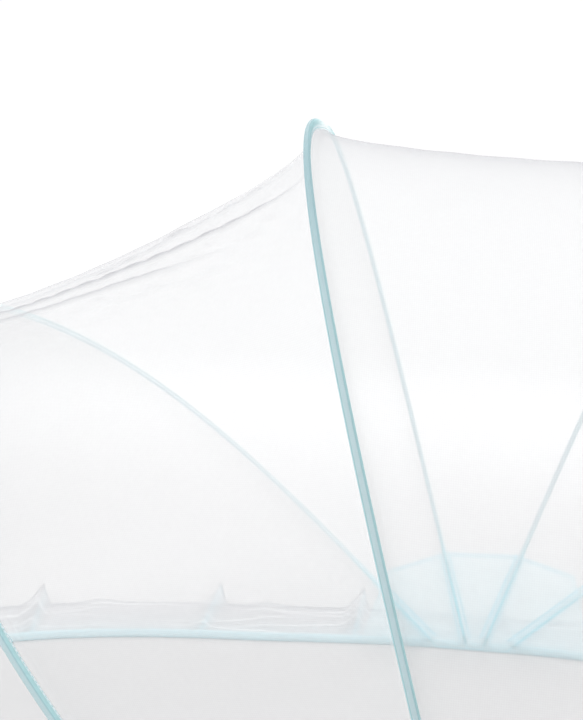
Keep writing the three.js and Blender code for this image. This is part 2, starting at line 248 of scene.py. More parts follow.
def laid_grid(name, places, uv_metres, amounts=None):
    """A grid piece whose point in row i and column j lies at places[i, j].

    amounts holds named values for the points, which a finish can read.
    """
    rows, columns = places.shape[:2]
    deselect_all()
    bpy.ops.mesh.primitive_grid_add(x_subdivisions=rows - 1, y_subdivisions=columns - 1, size=1)
    piece = bpy.context.active_object
    piece.name = piece.data.name = name
    mesh = piece.data
    flat = np.empty(len(mesh.vertices) * 3)
    mesh.vertices.foreach_get("co", flat)
    flat = flat.reshape(-1, 3)
    i = np.rint((flat[:, 0] + 0.5) * (rows - 1)).astype(int)
    j = np.rint((flat[:, 1] + 0.5) * (columns - 1)).astype(int)
    mesh.vertices.foreach_set("co", places[i, j].ravel())
    corner = np.empty(len(mesh.loops), dtype=np.int64)
    mesh.loops.foreach_get("vertex_index", corner)
    uv = uv_metres[i, j][corner]
    mesh.uv_layers[0].name = UV_NAME
    mesh.uv_layers[0].data.foreach_set("uv", uv.ravel())
    for amount_name, values in (amounts or {}).items():
        attribute = mesh.attributes.new(amount_name, "FLOAT", "POINT")
        value = np.broadcast_to(values, (rows, columns))[i, j]
        attribute.data.foreach_set("value", value.astype(np.float32))
    mesh.update()
    return piece


def edited(piece, operator, **settings):
    """Runs one operator of edit mode on the whole piece."""
    pick(piece)
    bpy.ops.object.mode_set(mode="EDIT")
    bpy.ops.mesh.select_all(action="SELECT")
    operator(**settings)
    bpy.ops.object.mode_set(mode="OBJECT")


def faced_away(piece, point):
    """Turns an open sheet over where its faces look towards the point."""
    towards = sum(
        face.area * face.normal.dot(face.center - Vector(point)) for face in piece.data.polygons
    )
    if towards < 0:
        edited(piece, bpy.ops.mesh.flip_normals)


def smooth(piece, outside=False):
    if outside:
        edited(piece, bpy.ops.mesh.normals_make_consistent, inside=False)
    pick(piece)
    bpy.ops.object.shade_smooth()


def welded(piece, distance=WELD_DISTANCE):
    edited(piece, bpy.ops.mesh.remove_doubles, threshold=distance)


def capped(piece):
    """Closes the open ends of a tube."""
    pick(piece)
    bpy.ops.object.mode_set(mode="EDIT")
    bpy.ops.mesh.select_all(action="DESELECT")
    bpy.ops.mesh.select_mode(type="EDGE")
    bpy.ops.mesh.select_non_manifold(extend=False, use_wire=False, use_multi_face=False,
                                     use_non_contiguous=False, use_verts=False)
    bpy.ops.mesh.edge_face_add()
    bpy.ops.object.mode_set(mode="OBJECT")


def tube(name, places, uv_metres, amounts=None, weld=WELD_DISTANCE, closed_ends=False):
    """A grid that is wrapped round on itself, with the edges that meet welded."""
    piece = laid_grid(name, places, uv_metres, amounts)
    welded(piece, weld)
    if closed_ends:
        capped(piece)
    smooth(piece, outside=True)
    return piece


def round_places(centre, beside, above, radius):
    """Places round a thread that runs along some points."""
    turn = THREAD_TURN[None, :, None]
    sides = np.cos(turn) * beside[:, None, :] + np.sin(turn) * above[:, None, :]
    return centre[:, None, :] + radius * sides


def uv_grid(along, across):
    return np.stack(np.meshgrid(along, across, indexing="ij"), -1)


def area_of(piece):
    return sum(face.area for face in piece.data.polygons)


# %% [markdown]
# ## The net gores
# A gore is mesh stretched between two seams. It takes a saddle shape: it bows outwards
# along the hoops and sags inwards between them. The side gores also have taut folds,
# which run from the crown of the outer hoop to the near shoulder of the inner one. Each
# fold is a soft ridge.

# %% Gore seams
def hoop_seam(name, side):
    line = hoop_lines[name]

    def seam(share):
        point = on_line(line, "points", share) + SEAM_DEPTH * on_line(line, "inward", share)
        return point + side * SEAM_CLEARANCE * on_line(line, "across", share)
    return seam


def base_share(along):
    return (along / base["length"]) % 1.0


def beside_base(along, outward, height):
    share = base_share(along)
    point = on_line(base, "points", share) + outward[..., None] * on_line(base, "outward", share)
    point[..., 2] = height
    return point


def base_seam(end):
    inset = BAND_WIDTH / 2 + BAND_CLEARANCE

    def seam(share):
        reach = base["length"] / 2 - 2 * END_GORE_START
        along = end * (END_GORE_START + reach * share)
        return beside_base(along, np.full_like(share, -inset), GORE_FLOOR_CLEARANCE)
    return seam


# %% Shape of a gore
SAG_SHARPNESS = 0.45
# Where the rows of a side gore meet its two hoops: shares of each hoop's length.
ROWS_AT_OUTER = [
    0.002, 0.23, 0.35, 0.46, 0.5, 0.518, 0.528, 0.542, 0.558, 0.605, 0.73, 0.87, 0.998]
ROWS_AT_INNER = [
    0.002, 0.23, 0.37, 0.48, 0.53, 0.565, 0.59, 0.616, 0.65, 0.71, 0.8, 0.9, 0.998]
# Taut folds: the share on the outer hoop where each starts, how much further round it is
# at the inner hoop, its height and half width, how densely the mesh is gathered in it,
# which also sets its grey tint of painted shade, and between which parts of the way to
# the inner hoop it shows.
FOLDS = [
    {"at": 0.470, "drift": 0.0, "height": 0.002, "width": 0.009, "dense": 0.08, "shows": (0.0, 0.45)},
    {"at": 0.506, "drift": 0.0, "height": 0.0025, "width": 0.0035, "dense": 0.20, "shows": (0.10, 0.80)},
    {"at": 0.518, "drift": 0.005, "height": 0.0035, "width": 0.003, "dense": 0.18, "shows": (0.0, 1.0)},
    {"at": 0.5258, "drift": 0.0122, "height": 0.0055, "width": 0.0024, "dense": 0.62, "shows": (0.0, 1.0)},
    {"at": 0.529, "drift": -0.012, "height": 0.003, "width": 0.0016, "dense": 0.34, "shows": (0.40, 1.0)},
    {"at": 0.5352, "drift": 0.014, "height": 0.005, "width": 0.0034, "dense": 0.50, "shows": (0.0, 0.72)},
    {"at": 0.544, "drift": 0.012, "height": 0.0015, "width": 0.0018, "dense": 0.14, "shows": (0.45, 0.80)},
]
RIGHT_FOLD_STRENGTH = 0.8
FOLD_FADE_IN = 0.08
FOLD_FADE_OUT = 0.25
FOLD_WIDTH_AT_OUTER = 0.55
FOLD_WIDENING = 0.9
# Near the folds, a share of the hoop is this many metres long, and more further in.
METRES_PER_SHARE = 2.1
METRES_MORE_AT_INNER = 3.0
# Fine crinkles between and below the folds only close the mesh and tint it grey, which
# is painted shade.
CRINKLES_AT = 0.538
CRINKLE_SPREAD = 0.020
CRINKLE_DENSE = 0.30
CRINKLES_ROUND = 95
CRINKLES_ACROSS = 13
RIPPLES_ROUND = 6
RIPPLES_ACROSS = 3
RIPPLE_HEIGHT = 0.0011
COLUMN_CROWDING = 0.045
YARN_IN_FOLD = 0.8
CROWN_SPREAD = 0.085
SEAM_DENSE = 0.22
SEAM_REACH = 0.0038
# A gore's crown is how much the mesh closes up along the crown and is tinted grey there, which is painted
# shade.
GORES = [
    {"name": "end_left", "right": "outer_left",
     "sag": 0.03, "crown": 0.3, "area": 0.87, "flat": (0.98, 1.62)},
    {"name": "side_left", "left": "outer_left", "right": "inner_left",
     "sag": 0.041, "crown": 0.16, "area": 0.68, "flat": (0.46, 2.27)},
    {"name": "middle", "left": "inner_left", "right": "inner_right",
     "sag": 0.0215, "crown": 0.55, "area": 0.75, "flat": (0.50, 2.33)},
    {"name": "side_right", "left": "inner_right", "right": "outer_right",
     "sag": 0.039, "crown": 0.16, "area": 0.63, "flat": (0.43, 2.25)},
    {"name": "end_right", "left": "outer_right",
     "sag": 0.03, "crown": 0.3, "area": 0.86, "flat": (0.96, 1.62)},
]
COLUMNS = 73
ROW_STEP = 0.008
FOLD_STEP = 0.0008
FOLD_ZONE = (0.49, 0.60)


def row_places(folded):
    """Shares of the rows, closer together where the folds are."""
    edge = ROWS_AT_OUTER[0]
    if not folded:
        return np.linspace(edge, 1 - edge, int(1 / ROW_STEP) + 1)
    before = np.arange(edge, FOLD_ZONE[0], ROW_STEP)
    within = np.arange(FOLD_ZONE[0], FOLD_ZONE[1], FOLD_STEP)
    after = np.linspace(FOLD_ZONE[1], 1 - edge, int((1 - FOLD_ZONE[1]) / ROW_STEP))
    return np.concatenate([before, within, after])


def ripple(u, v, size):
    """Uneven pull of the cloth: a few long waves that don't repeat within a gore."""
    waves = (
        np.sin(5.1 * u + 2.3 * v + 0.4) + 0.7 * np.sin(11.7 * u - 4.9 * v + 1.9)
        + 0.5 * np.sin(3.3 * u + 17.1 * v + 2.6) + 0.35 * np.sin(23.0 * u + 9.7 * v)
    )
    return size * waves / 2.5


def fold_profile(fold, outer_rows, from_outer):
    """How strongly a fold shows at each point, from 0 to 1."""
    metres_per_share = METRES_PER_SHARE + METRES_MORE_AT_INNER * from_outer
    at = fold["at"] + fold["drift"] * from_outer[None, :]
    distance = (outer_rows[:, None] - at) * metres_per_share[None, :]
    start, end = fold["shows"]
    begun = np.clip((from_outer - start) / FOLD_FADE_IN + 0.5, 0, 1)
    left = np.clip((end - from_outer) / FOLD_FADE_OUT + 0.5, 0, 1)
    width = fold["width"] * (FOLD_WIDTH_AT_OUTER + FOLD_WIDENING * from_outer)
    return begun * left * bell(distance, 0, width)


def gore_places(seam_a, seam_b, rows_a, rows_b, sag, crown, folds, outer_is_left):
    """Where each point of a gore lies, and how much painted shade, seam and thickness it has."""
    outer_rows = rows_a if outer_is_left else rows_b
    share = np.linspace(0, 1, COLUMNS)
    share = share - COLUMN_CROWDING * np.sin(2 * math.pi * share)
    a, b = seam_a(rows_a), seam_b(rows_b)
    t = share[None, :, None]
    places = a[:, None, :] * (1 - t) + b[:, None, :] * t
    bow = (4 * share * (1 - share)) ** SAG_SHARPNESS
    middle = (rows_a + rows_b) / 2
    height = np.sin(math.pi * middle)
    reach = np.linalg.norm(places, axis=2)
    lift = ripple(rows_a[:, None] * RIPPLES_ROUND, share[None, :] * RIPPLES_ACROSS, RIPPLE_HEIGHT)
    lift = lift * bow * height[:, None]
    from_outer = share if outer_is_left else 1 - share
    dense = np.zeros_like(lift)
    for fold in folds:
        shown = fold_profile(fold, outer_rows, from_outer)
        lift = lift + fold["height"] * shown * bow
        dense = np.maximum(dense, fold["dense"] * shown)
    if folds:
        down, along = outer_rows[:, None] * CRINKLES_ROUND, from_outer[None, :] * CRINKLES_ACROSS
        crinkles = np.clip(ripple(down, along, 1.0), 0, 1)
        near_folds = bell(outer_rows, CRINKLES_AT, CRINKLE_SPREAD)[:, None]
        dense = np.maximum(dense, CRINKLE_DENSE * crinkles * near_folds * bow)
    factor = 1 - bow[None, :] * height[:, None] * sag + lift / reach
    crowned = crown * bell(middle, 0.5, CROWN_SPREAD)[:, None]
    width = np.linalg.norm(b - a, axis=1)[:, None]
    to_seam = width * np.minimum(share, 1 - share)[None, :]
    seam = SEAM_DENSE * bell(to_seam, 0, SEAM_REACH)
    # Folds, crinkles and the crown close the mesh, and the same amount tints them grey, which is painted
    # shade.
    gathered_and_shaded = 1 - (1 - dense) * (1 - crowned)
    thick = 1 - (1 - YARN_IN_FOLD * gathered_and_shaded) * (1 - seam)
    return places * factor[:, :, None], {"shade": gathered_and_shaded, "seam": seam, "thick": thick}


def cloth_uv(places):
    """Distances across and along the cloth in metres."""
    across = np.linalg.norm(np.diff(places, axis=1), axis=2)
    u = np.concatenate([np.zeros((len(places), 1)), np.cumsum(across, axis=1)], axis=1)
    v = walked(places[:, places.shape[1] // 2])
    return np.stack([u - u[:, -1:] / 2, np.broadcast_to(v[:, None], u.shape)], -1)


# %% Sew the gores
NET_MIDDLE = (0.0, 0.0, 0.3)
gore_pieces = []
for facts in GORES:
    folded = facts["name"].startswith("side")
    left, right = facts.get("left"), facts.get("right")
    seam_a = hoop_seam(left, 1) if left else base_seam(-1)
    seam_b = hoop_seam(right, -1) if right else base_seam(1)
    rows = row_places(folded)
    inner_rows = np.interp(rows, ROWS_AT_OUTER, ROWS_AT_INNER)
    outer_is_left = facts["name"] == "side_left"
    rows_a = rows if outer_is_left or not folded else inner_rows
    rows_b = inner_rows if outer_is_left else rows
    strength = 1.0 if outer_is_left else RIGHT_FOLD_STRENGTH
    folds = [{**fold, "height": fold["height"] * strength} for fold in FOLDS] if folded else []
    places, amounts = gore_places(
        seam_a, seam_b, rows_a, rows_b, facts["sag"], facts["crown"], folds, outer_is_left)
    piece = laid_grid("gore_" + facts["name"], places, cloth_uv(places), amounts)
    smooth(piece)
    faced_away(piece, NET_MIDDLE)
    gore_pieces.append((piece, facts))
    print(piece.name, "area", round(area_of(piece), 3), "faces", len(piece.data.polygons))

# %% [markdown]
# ## The hoop casings
# Binding is folded round the sprung wire and sewn to the net on the inner side, so its
# section is a drop: round at the wire, narrow at the seam. A long grid is wrapped round
# the hoop's line in the same way, its edges are welded, and its ends are closed just
# above the base band.

# %% Hoop casings
CASING_HALF_WIDTH = 0.0042
CASING_CROWN = 0.0044
FOOT_GAP = 0.0003
# Half of the drop section, from the seam's edge round to the crown. A point may also say
# how much of it is the seam, the single layer over the wire, or the line beside the wire.
CASING_SIDE = [
    {"lateral": 0.0, "outward": -0.0082, "seam": 1.0},
    {"lateral": 0.0015, "outward": -0.0081, "seam": 1.0},
    {"lateral": 0.0017, "outward": -0.0070, "seam": 1.0},
    {"lateral": 0.0018, "outward": -0.0054, "seam": 1.0},
    {"lateral": 0.0024, "outward": -0.0040, "seam": 0.5},
    {"lateral": 0.0032, "outward": -0.0024},
    {"lateral": 0.0037, "outward": -0.0004},
    {"lateral": 0.0036, "outward": 0.0010},
    {"lateral": 0.0031, "outward": 0.0022},
    {"lateral": 0.0025, "outward": 0.0029, "wire": 0.2, "line": 0.6},
    {"lateral": 0.0018, "outward": 0.0034, "wire": 1.0},
    {"lateral": 0.0, "outward": 0.0039, "wire": 1.0},
]
CASING_ROWS = 320
# Over the crown, half way round, the binding is pulled tight and is narrower.
TAUT_AT_CROWN = 0.26
TAUT_SPREAD = 0.13
# The binding is tinted whitest beside the crown, a painted highlight, and duller on the
# near shoulder, painted shade. Within FOOT_REACH metres of the feet it is a clearer aqua,
# partly its own colour and partly painted light against the shade of the patch and wings.
# The other places and spreads are shares.
CROWN_HIGHLIGHT_AT = 0.475
CROWN_HIGHLIGHT_SPREAD = 0.042
PAINTED_SHADE_AT = 0.62
PAINTED_SHADE_SPREAD = 0.055
DEEPEST_PAINTED_SHADE = 0.75
FOOT_REACH = 0.18


def drop_section(*keys):
    """Values of the whole section, with the second half mirrored."""
    half = np.array([[row.get(key, 0.0) for key in keys] for row in CASING_SIDE])
    other = half[-2::-1].copy()
    if keys[0] == "lateral":
        other[:, 0] *= -1
    return np.vstack([half, other])


def casing(name):
    line = hoop_lines[name]
    section = drop_section("lateral", "outward")
    foot = (BAND_HEIGHT + CASING_HALF_WIDTH) / line["length"]
    share = np.linspace(foot, 1 - foot, CASING_ROWS)
    centre, ahead, across, inward = on_hoop(line, share)
    taut = 1 - TAUT_AT_CROWN * bell(share, 0.5, TAUT_SPREAD)
    lateral = taut[:, None] * section[None, :, 0]
    places = (
        centre[:, None, :] + across[:, None, :] * lateral[..., None]
        - inward[:, None, :] * section[None, :, 1:]
    )
    for end in (0, -1):
        drop = (BAND_HEIGHT + FOOT_GAP - places[end, :, 2]) / ahead[end, 2]
        places[end] += drop[:, None] * ahead[end]
    uv = uv_grid(share * line["length"], walked(section))
    amounts = {key: drop_section(key)[:, 0] for key in ("seam", "wire", "line")}
    # Painted shade: the near shoulder, just under the crown, is tinted duller.
    amounts["painted_shade"] = DEEPEST_PAINTED_SHADE * bell(share, PAINTED_SHADE_AT, PAINTED_SHADE_SPREAD)[:, None]
    # Painted highlight: beside the crown the binding is tinted near white, where the top light catches it.
    amounts["crown"] = bell(share, CROWN_HIGHLIGHT_AT, CROWN_HIGHLIGHT_SPREAD)[:, None]
    # Partly painted light: near the feet the binding is tinted a clearer, lighter aqua against the shade
    # of the patch and wings.
    from_foot = np.minimum(share, 1 - share)[:, None] * line["length"]
    amounts["foot"] = np.exp(-(from_foot / FOOT_REACH) ** 4)
    return tube("casing_" + name, places, uv, amounts, closed_ends=True)


casing_pieces = {name: casing(name) for name in HOOPS}
print("casings", {name: len(piece.data.polygons) for name, piece in casing_pieces.items()})

# %% [markdown]
# ## The base band
# The base is a wire in the same binding, standing on edge on the floor. It is a closed
# ring, so the grid's ends are welded as well as its edges.

# %% Base band
# The outer half of the section from the floor up, as pairs of outward and height.
BAND_SIDE = np.array([
    (0.0032, 0.0), (0.0044, 0.0012), (0.0045, 0.0050),
    (0.0042, 0.0086), (0.0030, 0.0116), (0.0010, 0.0129)])
BAND_ROWS = 601
EDGE_AND_SHADOW_HEIGHT = 0.0006


def base_band():
    inner_side = BAND_SIDE[::-1] * [-1, 1]
    section = np.vstack([inner_side[-1:], BAND_SIDE, inner_side])
    along = np.linspace(0, base["length"], BAND_ROWS)
    places = beside_base(along[:, None], section[None, :, 0], section[:, 1])
    places[-1] = places[0]
    # Partly the tape's dark edge and partly painted contact shadow: the band is tinted darker just above
    # the floor.
    edge_and_contact_shadow = 1.0 * (places[..., 2] < EDGE_AND_SHADOW_HEIGHT)
    return tube("band_base", places, uv_grid(along, walked(section)), {"line": edge_and_contact_shadow})


band_piece = base_band()
print("band faces", len(band_piece.data.polygons))

# %% [markdown]
# ## The hub patches
# Over the hoop feet lies a fan of pale aqua voile, cut straight from hoop to hoop. It is
# a thin sheet on the outer face of the casings, slightly puckered.

# %% Hub patches
# Corners as pairs of x and z, from the left end of the fan to the right.
PATCH_CORNERS = np.array([
    (-0.190, 0.008), (-0.154, 0.128), (-0.059, 0.167),
    (0.059, 0.171), (0.154, 0.142), (0.188, 0.008)])
PATCH_GAP = 0.0008
PATCH_FACE = HALF_WIDTH + CASING_CROWN + PATCH_GAP
PATCH_STANDOFF = 0.0006
PUCKER_HEIGHT = 0.0006
PUCKER_RADIANS_PER_METRE = 150
YARN_IN_PATCH_HEM = 0.3
PATCH_ROWS = 61
PATCH_COLUMNS = 49
PATCH_HEM_PART = 0.955


def hub_patch(name, side):
    """A fan: rows run round its rim, columns from the floor edge up to the rim."""
    rim_x, rim_z = PATCH_CORNERS.T
    distance = walked(PATCH_CORNERS)
    around = np.linspace(0, distance[-1], PATCH_ROWS)
    x, z = np.interp(around, distance, rim_x), np.interp(around, distance, rim_z)
    foot_x = np.linspace(rim_x[0], rim_x[-1], PATCH_ROWS)
    part = np.linspace(0, 1, PATCH_COLUMNS)[None, :]
    grid_x = foot_x[:, None] * (1 - part) + x[:, None] * part
    grid_z = rim_z[0] * (1 - part) + z[:, None] * part
    pucker = PUCKER_HEIGHT * np.sin(grid_x * PUCKER_RADIANS_PER_METRE + 0.7) * np.sin(math.pi * part)
    places = np.stack([grid_x, side * (PATCH_FACE + PATCH_STANDOFF + pucker), grid_z], -1)
    hem = 1.0 * (part > PATCH_HEM_PART)
    amounts = {"hem": hem, "thick": YARN_IN_PATCH_HEM * hem}
    piece = laid_grid(name, places, np.stack([grid_x, grid_z], -1), amounts)
    smooth(piece)
    return piece


patch_pieces = {"far": hub_patch("patch_far", 1), "near": hub_patch("patch_near", -1)}
print("patch area", round(area_of(patch_pieces["far"]), 4))

# %% [markdown]
# Beside every hoop the patch is held by two narrow wings of the same voile. Each is a
# ruled strip from the casing's seam out to the patch, wider at the hoop's foot, so the
# hoop looks broader inside the fan. The wings of one hub are joined into one piece.

# %% Wings beside the hoop feet
WING_START = 0.016
WING_SEAM = {"lateral": 0.0016, "outward": -0.0064}
WING_EDGE_OUTWARD = 0.0046
WING_WIDTH_AT_FOOT = 0.0100
WING_WIDTH_AT_RIM = 0.0078
WING_BEND = 1.2
WING_ROWS = 29
WING_COLUMNS = 9
WING_UV_WIDTH = 0.010
WING_EDGE_START = 0.55
YARN_IN_WING_EDGE = 0.5


def near_foot(line, distance, side):
    """Shares of a hoop's length at some distances from its far or near foot."""
    share = distance / line["length"]
    return share if side > 0 else 1 - share


def wing(name, line, reach, side, hand):
    distance = np.linspace(WING_START, reach, WING_ROWS)
    share = near_foot(line, distance, side)
    part = np.linspace(0, 1, WING_COLUMNS)[None, :]
    width = np.interp(distance, [WING_START, reach], [WING_WIDTH_AT_FOOT, WING_WIDTH_AT_RIM])
    start = WING_SEAM["lateral"]
    lateral = hand * (start + (width[:, None] - start) * part ** WING_BEND)
    outward = WING_SEAM["outward"] * (1 - part) + WING_EDGE_OUTWARD * part
    centre, _, across, inward = on_hoop(line, share)
    places = (
        centre[:, None, :] + lateral[..., None] * across[:, None, :]
        - outward[..., None] * inward[:, None, :]
    )
    uv = uv_grid(distance, WING_UV_WIDTH * part[0])
    edge = np.clip((part - WING_EDGE_START) / (1 - WING_EDGE_START) * 2, 0, 1)
    piece = laid_grid(name, places, uv, {"edge": edge, "thick": YARN_IN_WING_EDGE * edge})
    smooth(piece)
    faced_away(piece, NET_MIDDLE)
    return piece


def joined(name, pieces):
    deselect_all()
    for piece in pieces:
        piece.select_set(True)
    bpy.context.view_layer.objects.active = pieces[0]
    bpy.ops.object.join()
    pieces[0].name = pieces[0].data.name = name
    return pieces[0]


def wings_of_hub(name, side):
    wings = []
    for number, (hoop, sizes) in enumerate(HOOPS.items()):
        corner_x, corner_z = PATCH_CORNERS[number + 1]
        reach = math.hypot(corner_x - sizes["foot"], corner_z)
        for hand in (-1, 1):
            wings.append(wing(f"wing_{number}_{hand + 1}", hoop_lines[hoop], reach, side, hand))
    return joined(name, wings)


wing_pieces = {"far": wings_of_hub("wings_far", 1), "near": wings_of_hub("wings_near", -1)}
print("wings", {hub: len(piece.data.polygons) for hub, piece in wing_pieces.items()})

# %% [markdown]
# ## The floor skirt
# Outside the base band a strip of white voile lies on the floor. Its spare length
# stands up in flutes that grow towards the free edge, taken from a short table in turn.

# %% Floor skirt
SKIRT_WIDTH = 0.135
SKIRT_HALF_LENGTH = 1.136
SKIRT_HALF_WIDTH = 0.636
SKIRT_GAP = 0.0005
SKIRT_START = BAND_WIDTH / 2 + SKIRT_GAP
# The edge wanders in two waves: how far, radians in a metre, and where each starts.
FRAYS = [(0.0012, 410, 0.0), (0.0010, 173, 1.0)]
FLUTE_COUNT = 19
FIRST_FLUTE = -0.208
FLUTE_HEM_SHARE = 0.1
# Shift along the band, rise, width and lean along the band of the flutes, in turn.
FLUTES = [
    {"shift": 0.000, "rise": 0.041, "width": 0.004, "lean": 0.026},
    {"shift": 0.012, "rise": 0.035, "width": -0.006, "lean": -0.018},
    {"shift": -0.009, "rise": 0.040, "width": 0.003, "lean": 0.027},
    {"shift": 0.006, "rise": 0.043, "width": -0.003, "lean": 0.030},
    {"shift": -0.004, "rise": 0.033, "width": 0.007, "lean": -0.012},
]
FLUTE_LEFT = 0.034
FLUTE_RIGHT = 0.013
FLUTE_SHARPNESS = 1.7
LEAN_REACH = 0.072
SWELL_AFTER = 0.112
SWELL_LENGTH = 0.030
SWELL_SHARE = 0.16
# Long creases that lie along the skirt: where each lies across its width, how far it
# wanders and how often, and its height.
CREASES = [
    {"part": 0.20, "wander": 0.10, "turns": 7, "start": 0.3, "height": 0.0014},
    {"part": 0.38, "wander": 0.16, "turns": 5, "start": 1.9, "height": 0.0018},
    {"part": 0.55, "wander": 0.14, "turns": 9, "start": 4.1, "height": 0.0015},
    {"part": 0.72, "wander": 0.12, "turns": 6, "start": 5.2, "height": 0.0017},
    {"part": 0.86, "wander": 0.06, "turns": 11, "start": 2.7, "height": 0.0011},
]
CREASE_HALF_WIDTH = 0.0036
CREASE_STRENGTH = 0.65
CREASE_CHANGE = 0.35
CREASE_RISE = 6
YARN_IN_CREASE = 0.75
# How strongly the creases are tinted white, which is painted highlight.
CREASE_HIGHLIGHT = 0.85
YARN_IN_CREST = 0.40
HEM_PART = 0.90
YARN_IN_HEM = 0.40
HEM_SHADE = 0.3
FLUTE_SHADE = 0.5
BAND_AQUA = 0.8
AQUA_LOSS = 0.5
SKIRT_STEP = 0.0035
SKIRT_COLUMNS = 41
CLOTH_HALF = 0.0006
AQUA_REACH = 0.030


def flute_lifts(along):
    """Lift at the free edge, spare width, lean, and the flutes' crests and shaded sides."""
    length = base["length"]
    pitch = length / FLUTE_COUNT
    rise, width, crest, lean, shaded = (np.zeros_like(along) for _ in range(5))
    for number in range(FLUTE_COUNT):
        flute = FLUTES[number % len(FLUTES)]
        at = FIRST_FLUTE + number * pitch + flute["shift"]
        away = (along - at + length / 2) % length - length / 2
        reach = np.where(away < 0, FLUTE_LEFT, FLUTE_RIGHT)
        fin = np.clip(1 - np.abs(away) / reach, 0, 1) ** FLUTE_SHARPNESS
        swell = SWELL_SHARE * bell(away, SWELL_AFTER, SWELL_LENGTH)
        rise += flute["rise"] * (fin + swell)
        width += flute["width"] * fin
        crest = np.maximum(crest, fin)
        shaded = np.maximum(shaded, fin * (away < 0))
        lean += flute["lean"] * bell(away, 0, LEAN_REACH)
    return rise, width, lean, crest, shaded


def crease_heights(along, part):
    """Heights of the long creases, and how strongly each point lies on one."""
    turn = 2 * math.pi * along / base["length"]
    height, shown = np.zeros(np.broadcast(along, part).shape), 0.0
    for crease in CREASES:
        centre = crease["part"] + crease["wander"] * np.sin(crease["turns"] * turn + crease["start"])
        fading = np.sin((crease["turns"] + 3) * turn + 2 * crease["start"])
        strength = CREASE_STRENGTH + CREASE_CHANGE * fading
        bump = strength * bell(part, centre, CREASE_HALF_WIDTH / SKIRT_WIDTH)
        height = height + crease["height"] * bump
        shown = np.maximum(shown, bump)
    return height, shown


def skirt_point(along, part):
    """Places on the skirt, at a distance round the base and a part of its width."""
    rise, width, lean, crest, shaded = flute_lifts(along)
    lift = rise * (FLUTE_HEM_SHARE + (1 - FLUTE_HEM_SHARE) * part)
    creased, shown = crease_heights(along, part)
    frayed = sum(size * np.sin(along * turns + start) for size, turns, start in FRAYS)
    reach = SKIRT_START + part * (SKIRT_WIDTH + width + frayed)
    height = CLOTH_HALF + lift + creased * np.minimum(1, CREASE_RISE * part)
    places = beside_base(along + lean * part, reach, height)
    places[..., 0] = np.clip(places[..., 0], -SKIRT_HALF_LENGTH, SKIRT_HALF_LENGTH)
    places[..., 1] = np.clip(places[..., 1], -SKIRT_HALF_WIDTH, SKIRT_HALF_WIDTH)
    return places, crest, shaded, shown


def floor_skirt():
    rows = int(base["length"] / SKIRT_STEP) + 1
    along = np.linspace(0, base["length"], rows)[:, None]
    part = np.linspace(0, 1, SKIRT_COLUMNS)[None, :]
    along, part = np.broadcast_arrays(along, part)
    places, crest, shaded, creased = skirt_point(along, part)
    places[-1] = places[0]
    beside_band = np.exp(-part * SKIRT_WIDTH / AQUA_REACH)
    hem = 1.0 * (part > HEM_PART)
    open_share = (1 - YARN_IN_CREASE * creased) * (1 - YARN_IN_CREST * crest) * (1 - YARN_IN_HEM * hem)
    uv = np.stack([along, part * SKIRT_WIDTH], -1)
    amounts = {
        # Painted highlight: the creases are tinted white where they catch the light.
        "crease_highlight": CREASE_HIGHLIGHT * creased,
        "aqua": np.clip(BAND_AQUA * beside_band + (crest - shaded) * (1 - AQUA_LOSS * part), 0, 1),
        # Painted shade: the flutes' left sides and the hem are tinted grey.
        "shade": np.clip(FLUTE_SHADE * shaded + HEM_SHADE * hem, 0, 1),
        "thick": 1 - open_share,
    }
    piece = laid_grid("skirt_floor", places, uv, amounts)
    welded(piece)
    smooth(piece)
    faced_away(piece, (0.0, 0.0, -1.0))
    return piece


skirt_piece = floor_skirt()
print("skirt area", round(area_of(skirt_piece), 3), "faces", len(skirt_piece.data.polygons))

# %% [markdown]
# The skirt's free edge is overlocked. The threads looped over it look like a thin lumpy
# cord, so a grid is wrapped round the edge, thicker at each loop.

# %% Overlocked edge of the skirt
OVERLOCK_RADIUS = 0.0011
OVERLOCK_SWELL = 0.0003
OVERLOCK_LOOP = 0.0040
OVERLOCK_STEP = 0.0010


def overlocked_edge():
    rows = int(base["length"] / OVERLOCK_STEP) + 1
    along = np.linspace(0, base["length"], rows)
    edge = skirt_point(along, np.ones_like(along))[0]
    ahead = np.gradient(edge, axis=0)
    ahead /= np.maximum(np.linalg.norm(ahead, axis=1), 1e-9)[:, None]
    beside = np.cross(ahead, [0.0, 0.0, 1.0])
    beside /= np.linalg.norm(beside, axis=1)[:, None]
    above = np.cross(beside, ahead)
    radius = OVERLOCK_RADIUS + OVERLOCK_SWELL * np.sin(2 * math.pi * along / OVERLOCK_LOOP)
    places = round_places(edge, beside, above, radius[:, None, None])
    places[..., 2] = np.maximum(places[..., 2], 0.0)
    places[-1] = places[0]
    uv = uv_grid(along, OVERLOCK_RADIUS * THREAD_TURN)
    return tube("skirt_overlock", places, uv, weld=FINE_WELD_DISTANCE)


overlock_piece = overlocked_edge()
print("overlock faces", len(overlock_piece.data.polygons))

# %% [markdown]
# ## Stitches
# Each seam is closed by rows of lockstitch. A stitch is a small sphere drawn out to its
# length and copied along the seam. All the stitches of a seam are one mesh, because
# thousands of separate ones would be slow to handle.

# %% One stitch, copied along a seam
STITCH_LENGTH = 0.0030
STITCH_THICKNESS = 0.0005
STITCH_PITCH = 0.0050
STITCH_FACES = 20


def one_stitch():
    deselect_all()
    bpy.ops.mesh.primitive_ico_sphere_add(subdivisions=1, radius=0.5)
    stitch = bpy.context.active_object
    corners = np.array([vertex.co[:] for vertex in stitch.data.vertices])
    faces = np.array([face.vertices[:] for face in stitch.data.polygons])
    bpy.ops.object.delete()
    return corners * [STITCH_LENGTH, STITCH_THICKNESS, STITCH_THICKNESS], faces


